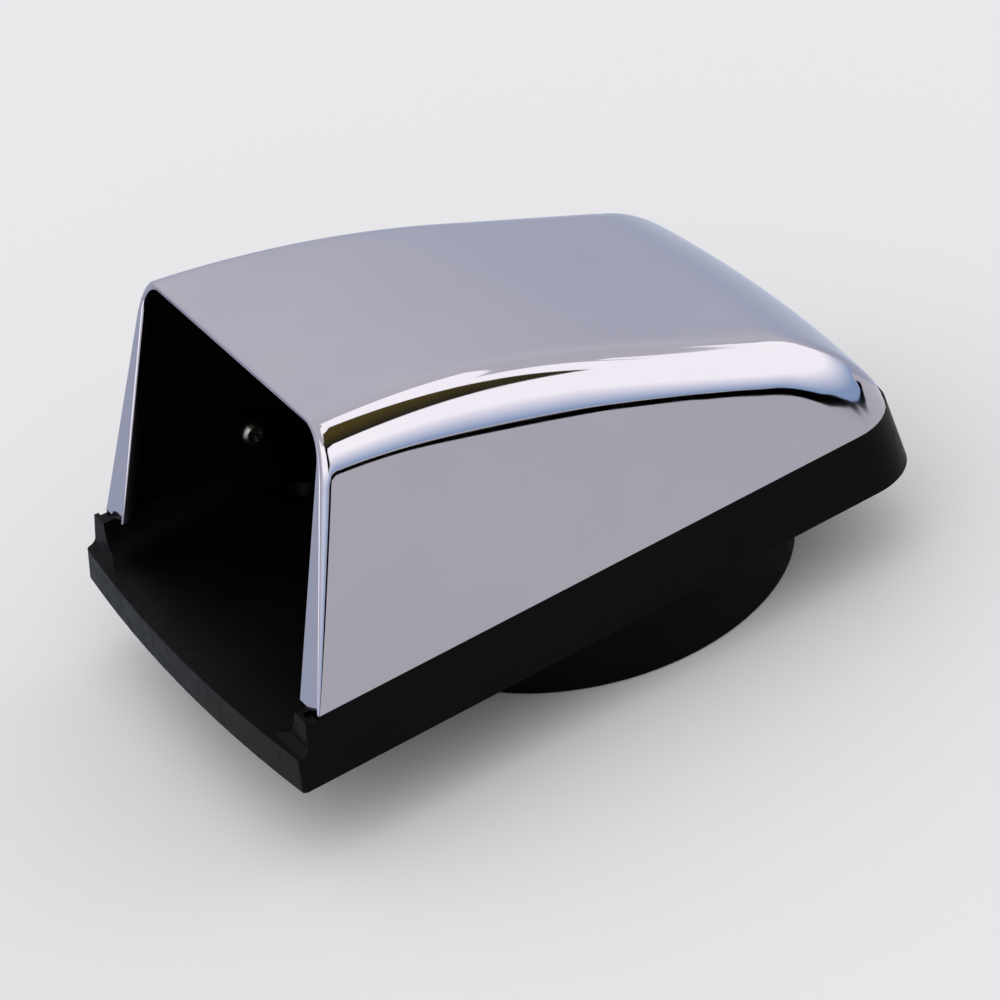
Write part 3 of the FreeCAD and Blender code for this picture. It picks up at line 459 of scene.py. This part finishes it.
def clean_skin(shape):
    """Merges what coincides, turns the faces outwards and marks the sharp edges."""
    bmesh.ops.remove_doubles(shape, verts=shape.verts, dist=MERGE_DISTANCE)
    bmesh.ops.dissolve_degenerate(shape, edges=shape.edges, dist=SLIVER_LENGTH)
    bmesh.ops.recalc_face_normals(shape, faces=shape.faces)
    for edge in shape.edges:
        if len(edge.link_faces) == 2 and edge.calc_face_angle(0) > SHARP_ANGLE:
            edge.smooth = False


def build_hood():
    rows, chromed, outer_count = hood_rows()
    mesh = bpy.data.meshes.new("hood_shell")
    shape = bmesh.new()
    grid = [[shape.verts.new(point) for point in row] for row in rows]
    add_skin(shape, grid, chromed)
    close_foot(shape, grid, outer_count)
    clean_skin(shape)
    for side in (-1, 1):
        for vertices in (add_lug(shape, side), add_tongue(shape, side)):
            for vertex in vertices:
                for face in vertex.link_faces:
                    face.material_index = 1
    shape.to_mesh(mesh)
    shape.free()
    hood = bpy.data.objects.new("hood_shell", mesh)
    bpy.context.scene.collection.objects.link(hood)
    mesh.materials.append(chrome())
    mesh.materials.append(lining())
    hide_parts("hood")
    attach(hood, "root")


# ---------------------------------------------------------------- materials


def new_material(name):
    """A material with its node tree, its Principled shader and its object coordinates."""
    material = bpy.data.materials.new(name)
    material.use_nodes = True
    nodes = material.node_tree.nodes
    shader = nodes["Principled BSDF"]
    place = nodes.new("ShaderNodeTexCoord").outputs["Object"]
    return material, material.node_tree, shader, place


def noise(tree, place, scale, detail=3.0, roughness=0.5):
    node = tree.nodes.new("ShaderNodeTexNoise")
    node.inputs["Scale"].default_value = scale
    node.inputs["Detail"].default_value = detail
    node.inputs["Roughness"].default_value = roughness
    tree.links.new(place, node.inputs["Vector"])
    return node.outputs["Fac"]


def spread(tree, value, low, high, from_low=0.3, from_high=0.7):
    """Maps a noise value to a range."""
    node = tree.nodes.new("ShaderNodeMapRange")
    node.inputs["From Min"].default_value = from_low
    node.inputs["From Max"].default_value = from_high
    node.inputs["To Min"].default_value = low
    node.inputs["To Max"].default_value = high
    tree.links.new(value, node.inputs["Value"])
    return node.outputs["Result"]


def tint(tree, value, dark, light):
    """Mixes two colours by a value."""
    node = tree.nodes.new("ShaderNodeMix")
    node.data_type = "RGBA"
    node.inputs["A"].default_value = (*dark, 1)
    node.inputs["B"].default_value = (*light, 1)
    tree.links.new(value, node.inputs["Factor"])
    return node.outputs["Result"]


def bump(tree, shader, height, strength, distance):
    node = tree.nodes.new("ShaderNodeBump")
    node.inputs["Strength"].default_value = strength
    node.inputs["Distance"].default_value = distance
    tree.links.new(height, node.inputs["Height"])
    tree.links.new(node.outputs["Normal"], shader.inputs["Normal"])


def chrome():
    """Bright chrome plate: a slight lavender cast and a faint, uneven polishing haze."""
    material, tree, shader, place = new_material("chrome_plate")
    shader.inputs["Metallic"].default_value = 1.0
    clouds = spread(tree, noise(tree, place, 28.0), 0.0, 1.0)
    colour = tint(tree, clouds, (0.445, 0.43, 0.485), (0.465, 0.45, 0.50))
    tree.links.new(colour, shader.inputs["Base Color"])
    haze = spread(tree, noise(tree, place, 90.0, 5.0, 0.6), 0.03, 0.06)
    tree.links.new(haze, shader.inputs["Roughness"])
    bump(tree, shader, noise(tree, place, 220.0, 2.0), 0.02, 0.00002)
    return material


def moulded(name, dark, light, roughness, specular):
    """Black moulded plastic: a fine grain, slight colour drift and uneven gloss."""
    unevenness = 0.06
    material, tree, shader, place = new_material(name)
    drift = spread(tree, noise(tree, place, 40.0, 4.0), 0.0, 1.0)
    tree.links.new(tint(tree, drift, dark, light), shader.inputs["Base Color"])
    gloss = spread(tree, noise(tree, place, 300.0, 4.0),
                   roughness - unevenness, roughness + unevenness)
    tree.links.new(gloss, shader.inputs["Roughness"])
    shader.inputs["Specular IOR Level"].default_value = specular
    bump(tree, shader, noise(tree, place, 1400.0, 3.0), 0.25, 0.00006)
    return material


def lining():
    return moulded("black_lining", (0.001, 0.001, 0.0013), (0.002, 0.002, 0.0024),
                   roughness=0.6, specular=0.04)


def base_plastic():
    return moulded("black_base_plastic", (0.0012, 0.0010, 0.0013), (0.0024, 0.0021, 0.0025),
                   roughness=0.42, specular=0.06)


def collar_plastic():
    return moulded("black_collar_plastic", (0.0012, 0.0010, 0.0013), (0.0026, 0.0022, 0.0026),
                   roughness=0.5, specular=0.05)


def stainless():
    """Brushed stainless screws. Their colour is painted darker, a dim olive grey that stands in for
    the shade inside the hood rather than the steel's own brightness.
    """
    material, tree, shader, place = new_material("stainless_screw_with_painted_shade")
    shader.inputs["Metallic"].default_value = 1.0
    drift = spread(tree, noise(tree, place, 600.0), 0.0, 1.0)
    # Painted shade: the steel colour is darkened to a dim olive grey, as a screw looks in the shade
    # inside the hood.
    tree.links.new(tint(tree, drift, (0.20, 0.20, 0.18), (0.28, 0.28, 0.25)),
                   shader.inputs["Base Color"])
    tree.links.new(spread(tree, noise(tree, place, 1800.0), 0.22, 0.38), shader.inputs["Roughness"])
    bump(tree, shader, noise(tree, place, 3000.0), 0.2, 0.00002)
    return material


def dress_nodes():
    """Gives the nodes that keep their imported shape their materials."""
    screws = stainless()
    finishes = {
        "base": base_plastic(),
        "hose_collar": collar_plastic(),
        "collar_screws": screws,
        "hood_screws": screws,
    }
    for node, material in finishes.items():
        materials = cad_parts[node].data.materials
        materials.clear()
        materials.append(material)


# ---------------------------------------------------------------- studio


def plain(name, colour, strength=0.0):
    """A matt colour for the floor and flags, or an even glow for a light panel."""
    material = bpy.data.materials.new(name)
    material.use_nodes = True
    shader = material.node_tree.nodes["Principled BSDF"]
    shader.inputs["Base Color"].default_value = (*colour, 1)
    shader.inputs["Roughness"].default_value = 1.0
    shader.inputs["Specular IOR Level"].default_value = 0.0
    if strength:
        shader.inputs["Base Color"].default_value = (0, 0, 0, 1)
        shader.inputs["Emission Color"].default_value = (*colour, 1)
        shader.inputs["Emission Strength"].default_value = strength
    return material


def stage_sheet(name, rows, material):
    """A stage surface through rows of points."""
    mesh = bpy.data.meshes.new(name)
    width = len(rows[0])
    points = [point for row in rows for point in row]
    faces = [(row * width + column, row * width + column + 1,
              (row + 1) * width + column + 1, (row + 1) * width + column)
             for row in range(len(rows) - 1) for column in range(width - 1)]
    mesh.from_pydata(points, [], faces)
    mesh.materials.append(material)
    sheet = bpy.data.objects.new(name, mesh)
    bpy.context.scene.collection.objects.link(sheet)
    return sheet


def reflected_only(sheet):
    """The sheet shows in reflections, but neither to the camera nor as a light or shadow."""
    sheet.visible_camera = False
    sheet.visible_diffuse = False
    sheet.visible_shadow = False
    return sheet


def sky_point(azimuth, elevation, radius):
    """A point on a big sphere round the object; azimuth 0 is towards +X and 90 towards +Y."""
    azimuth = math.radians(azimuth)
    elevation = math.radians(elevation)
    return (radius * math.cos(elevation) * math.cos(azimuth),
            radius * math.cos(elevation) * math.sin(azimuth), radius * math.sin(elevation))


def sky_panel(name, corners, radius, material):
    """A curved panel between four (azimuth, elevation) corners, given in order round it."""
    rows = []
    for step in range(PANEL_STEPS + 1):
        up = step / PANEL_STEPS
        row = []
        for stop in range(PANEL_STEPS + 1):
            across = stop / PANEL_STEPS
            spot = [(a * (1 - across) + b * across) * (1 - up)
                    + (d * (1 - across) + c * across) * up
                    for a, b, c, d in zip(*corners)]
            row.append(sky_point(*spot, radius))
        rows.append(row)
    return reflected_only(stage_sheet(name, rows, material))


def graded_glow(name, colours, rise):
    """A panel's glow, which changes between two colours over a range of heights."""
    material = bpy.data.materials.new(name)
    material.use_nodes = True
    tree = material.node_tree
    shader = tree.nodes["Principled BSDF"]
    shader.inputs["Base Color"].default_value = (0, 0, 0, 1)
    shader.inputs["Specular IOR Level"].default_value = 0.0
    shader.inputs["Emission Strength"].default_value = 1.0
    split = tree.nodes.new("ShaderNodeSeparateXYZ")
    tree.links.new(tree.nodes.new("ShaderNodeTexCoord").outputs["Object"], split.inputs[0])
    height = spread(tree, split.outputs["Z"], 0.0, 1.0, *rise)
    tree.links.new(tint(tree, height, *colours), shader.inputs["Emission Color"])
    return material


def floor_strip(name, near, far, height, material):
    """A sheet lying on the floor between two lines of (x, y) points."""
    rows = [[(x, y, height) for x, y in line] for line in (near, far)]
    return reflected_only(stage_sheet(name, rows, material))


def ring(radius):
    """Points on a circle on the floor, over the far floor's turn."""
    turns = [math.radians(FAR_FLOOR_START + FAR_FLOOR_TURN * step)
             for step in range(FAR_FLOOR_STEPS + 1)]
    return [(radius * math.cos(turn), radius * math.sin(turn)) for turn in turns]


def build_panels(flag):
    """The light panels, and the dark cards in front of them."""
    glow = graded_glow("softbox_glow", SOFTBOX_GLOW, SOFTBOX_RISE)
    for name, corners in SOFTBOXES.items():
        sky_panel(name, corners, SOFTBOX_RADIUS, glow)
    gap = graded_glow("ceiling_gap", GAP_GLOW, GAP_RISE)
    sky_panel("gap_card", GAP_CARD, CARD_RADIUS, gap)
    wall = graded_glow("room_wall_glow", WALL_GLOW, WALL_RISE)
    sky_panel("room_wall", ROOM_WALL, WALL_RADIUS, wall)
    sky_panel("dark_corner", DARK_CORNER, CARD_RADIUS, flag)


def build_floor_sheets(floor_z, flag):
    """Sheets on the floor: what the walls and the mouth's flat face reflect."""
    low_glow = plain("softbox_low_glow", LOW_GLOW, strength=1.0)
    face_glow = plain("mouth_card_glow", MOUTH_GLOW, strength=1.0)
    shade = plain("far_floor_shade", FAR_FLOOR_SHADE, strength=1.0)
    horizon = [(SOFTBOX_RADIUS * x / math.hypot(x, y), SOFTBOX_RADIUS * y / math.hypot(x, y))
               for x, y in TABLE_FAR]
    card_z = floor_z + CARD_LIFT
    floor_strip("dark_table_edge", TABLE_NEAR, TABLE_FAR, card_z, flag)
    floor_strip("softbox_on_floor", TABLE_FAR, horizon, floor_z + GLOW_LIFT, low_glow)
    floor_strip("dark_mouth_card", DARK_MOUTH_NEAR, DARK_MOUTH_FAR, card_z, flag)
    floor_strip("bright_mouth_card", BRIGHT_MOUTH_NEAR, BRIGHT_MOUTH_FAR, card_z, face_glow)
    inner, outer = FAR_FLOOR_RADII
    floor_strip("far_floor", ring(inner), ring(outer), floor_z + FAR_FLOOR_LIFT, shade)


def build_room():
    """The even light of the room all round."""
    world = bpy.data.worlds.new("studio_room")
    world.use_nodes = True
    room = world.node_tree.nodes["Background"]
    room.inputs["Color"].default_value = (*ROOM, 1)
    room.inputs["Strength"].default_value = 1.0
    bpy.context.scene.world = world


def build_studio():
    floor_z = CAD_BOX[0].z - FLOOR_DROP
    reach = FLOOR_HALF
    stage_sheet("floor", [[(-reach, -reach, floor_z), (reach, -reach, floor_z)],
                          [(-reach, reach, floor_z), (reach, reach, floor_z)]],
                plain("floor_paper", PAPER))
    flag = plain("flag", BLACK)
    build_panels(flag)
    build_floor_sheets(floor_z, flag)
    build_room()


def build_camera():
    """The camera looks down from the +X side, a little from the mouth's end, and is rolled."""
    azimuth = math.radians(69.52)
    elevation = math.radians(32.13)
    roll = math.radians(-14.5)
    aim = Vector((-7.4, -14.1, 3.2)) * MM
    distance = 1225.7 * MM
    back = Vector((math.sin(azimuth) * math.cos(elevation),
                   -math.cos(azimuth) * math.cos(elevation), math.sin(elevation)))
    level = Vector((math.cos(azimuth), math.sin(azimuth), 0))
    right = level * math.cos(roll) + back.cross(level) * math.sin(roll)
    up = back.cross(right)
    data = bpy.data.cameras.new("camera")
    data.sensor_width = 36.0
    data.lens = 186.5
    data.clip_start = 0.05
    data.clip_end = 20.0
    camera = bpy.data.objects.new("camera", data)
    camera.matrix_world = Matrix.Translation(aim + back * distance) @ Matrix(
        (right, up, back)).transposed().to_4x4()
    bpy.context.scene.collection.objects.link(camera)
    bpy.context.scene.camera = camera


bpy.context.scene.view_settings.view_transform = "Standard"
build_camera()
build_studio()
dress_nodes()
build_hood()
